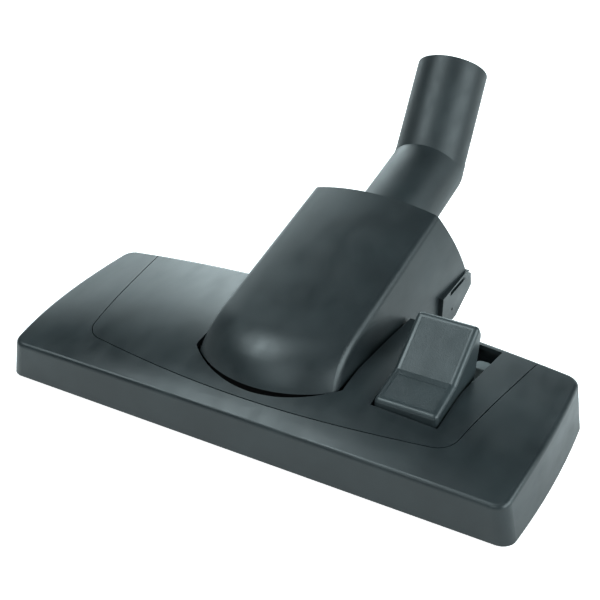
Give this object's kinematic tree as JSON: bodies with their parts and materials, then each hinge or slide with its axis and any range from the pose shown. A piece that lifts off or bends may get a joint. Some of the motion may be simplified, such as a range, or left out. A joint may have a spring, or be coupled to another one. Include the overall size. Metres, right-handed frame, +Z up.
{
  "type": "vacuum floor brush head",
  "caption": "Wide low vacuum cleaner floor head with a set-in top cover, a foot pedal that lowers hidden brush strips, a tilting hooded neck on wheels and a bent swivel tube.",
  "frame": {"origin": "the middle of the head's sole, on the floor plane", "axes": "+X along the head's width towards the pedal, +Y to the rear where the tube leaves, +Z up"},
  "size_m": [0.275, 0.2718, 0.1194],
  "materials": {
    "shell_plastic": "satin charcoal moulded ABS",
    "neck_plastic": "satin charcoal moulded ABS",
    "tube_plastic": "fine matt charcoal moulded PP",
    "pedal_plastic": "charcoal moulding with grained panels",
    "inner_plastic": "black moulded POM",
    "sole_plastic": "dark moulded ABS with a worn smooth land",
    "lug_plastic": "natural light grey moulding",
    "bristle_nylon": "black nylon bristle tufts",
    "lint_velour": "red one-way velour pile",
    "seal_rubber": "black soft rubber",
    "wheel_plastic": "dark grey moulded nylon",
    "spring_steel": "drawn spring wire",
    "plated_steel": "zinc plated"
  },
  "bodies": {
    "head": {"outer_shell": "shell_plastic", "top_cover": "shell_plastic", "sole_plate": "sole_plastic", "throat_cradle": "inner_plastic", "left_pivot_cap": "inner_plastic", "right_pivot_cap": "inner_plastic", "cap_screws": "plated_steel", "sole_screws": "plated_steel", "pedal_axle": "plated_steel", "front_left_lint_strip": "lint_velour", "front_right_lint_strip": "lint_velour", "rear_left_lint_strip": "lint_velour", "rear_right_lint_strip": "lint_velour"},
    "pedal_rocker": {"pedal": "pedal_plastic"},
    "brush": {"brush_carrier": "inner_plastic", "latch_lug": "lug_plastic", "front_bristles": "bristle_nylon", "rear_bristles": "bristle_nylon", "left_lift_spring": "spring_steel", "right_lift_spring": "spring_steel"},
    "neck": {"neck_hood": "neck_plastic", "neck_lower_shell": "neck_plastic", "knuckle_drum": "inner_plastic", "neck_duct": "inner_plastic", "swivel_ring": "inner_plastic", "swivel_seal": "seal_rubber", "neck_screws": "plated_steel", "wheel_axle": "plated_steel"},
    "wheel_left": {"left_wheel": "wheel_plastic"},
    "wheel_right": {"right_wheel": "wheel_plastic"},
    "elbow": {"elbow_bend": "tube_plastic", "elbow_tube": "tube_plastic"}
  },
  "joints": [
    {"name": "neck_tilt", "type": "hinge", "parent": "head", "child": "neck", "pos_m": [0, -0.003, 0.0235], "axis": [1, 0, 0], "range_deg": [0, 30]},
    {"name": "elbow_swivel", "type": "hinge", "parent": "neck", "child": "elbow", "pos_m": [0, 0.09411, 0.04255], "axis": [0, 0.9711, 0.2385], "continuous": true},
    {"name": "left_wheel_spin", "type": "hinge", "parent": "neck", "child": "wheel_left", "pos_m": [-0.032, 0.097, 0.01], "axis": [1, 0, 0], "continuous": true},
    {"name": "right_wheel_spin", "type": "hinge", "parent": "neck", "child": "wheel_right", "pos_m": [0.032, 0.097, 0.01], "axis": [1, 0, 0], "continuous": true},
    {"name": "pedal_rock", "type": "hinge", "parent": "head", "child": "pedal_rocker", "pos_m": [0.0719, 0.001, 0.0252], "axis": [-1, 0, 0], "range_deg": [0, 20]},
    {"name": "brush_drop", "type": "slide", "parent": "head", "child": "brush", "axis": [0, 0, -1], "range_m": [0, 0.006], "stiffness_N_per_m": 45, "springref_m": -0.009, "deforming": ["left_lift_spring", "right_lift_spring"]}
  ],
  "couplings": [
    {"joint": "pedal_rock", "follows": "brush_drop", "rad_per_m": 58.17}
  ]
}
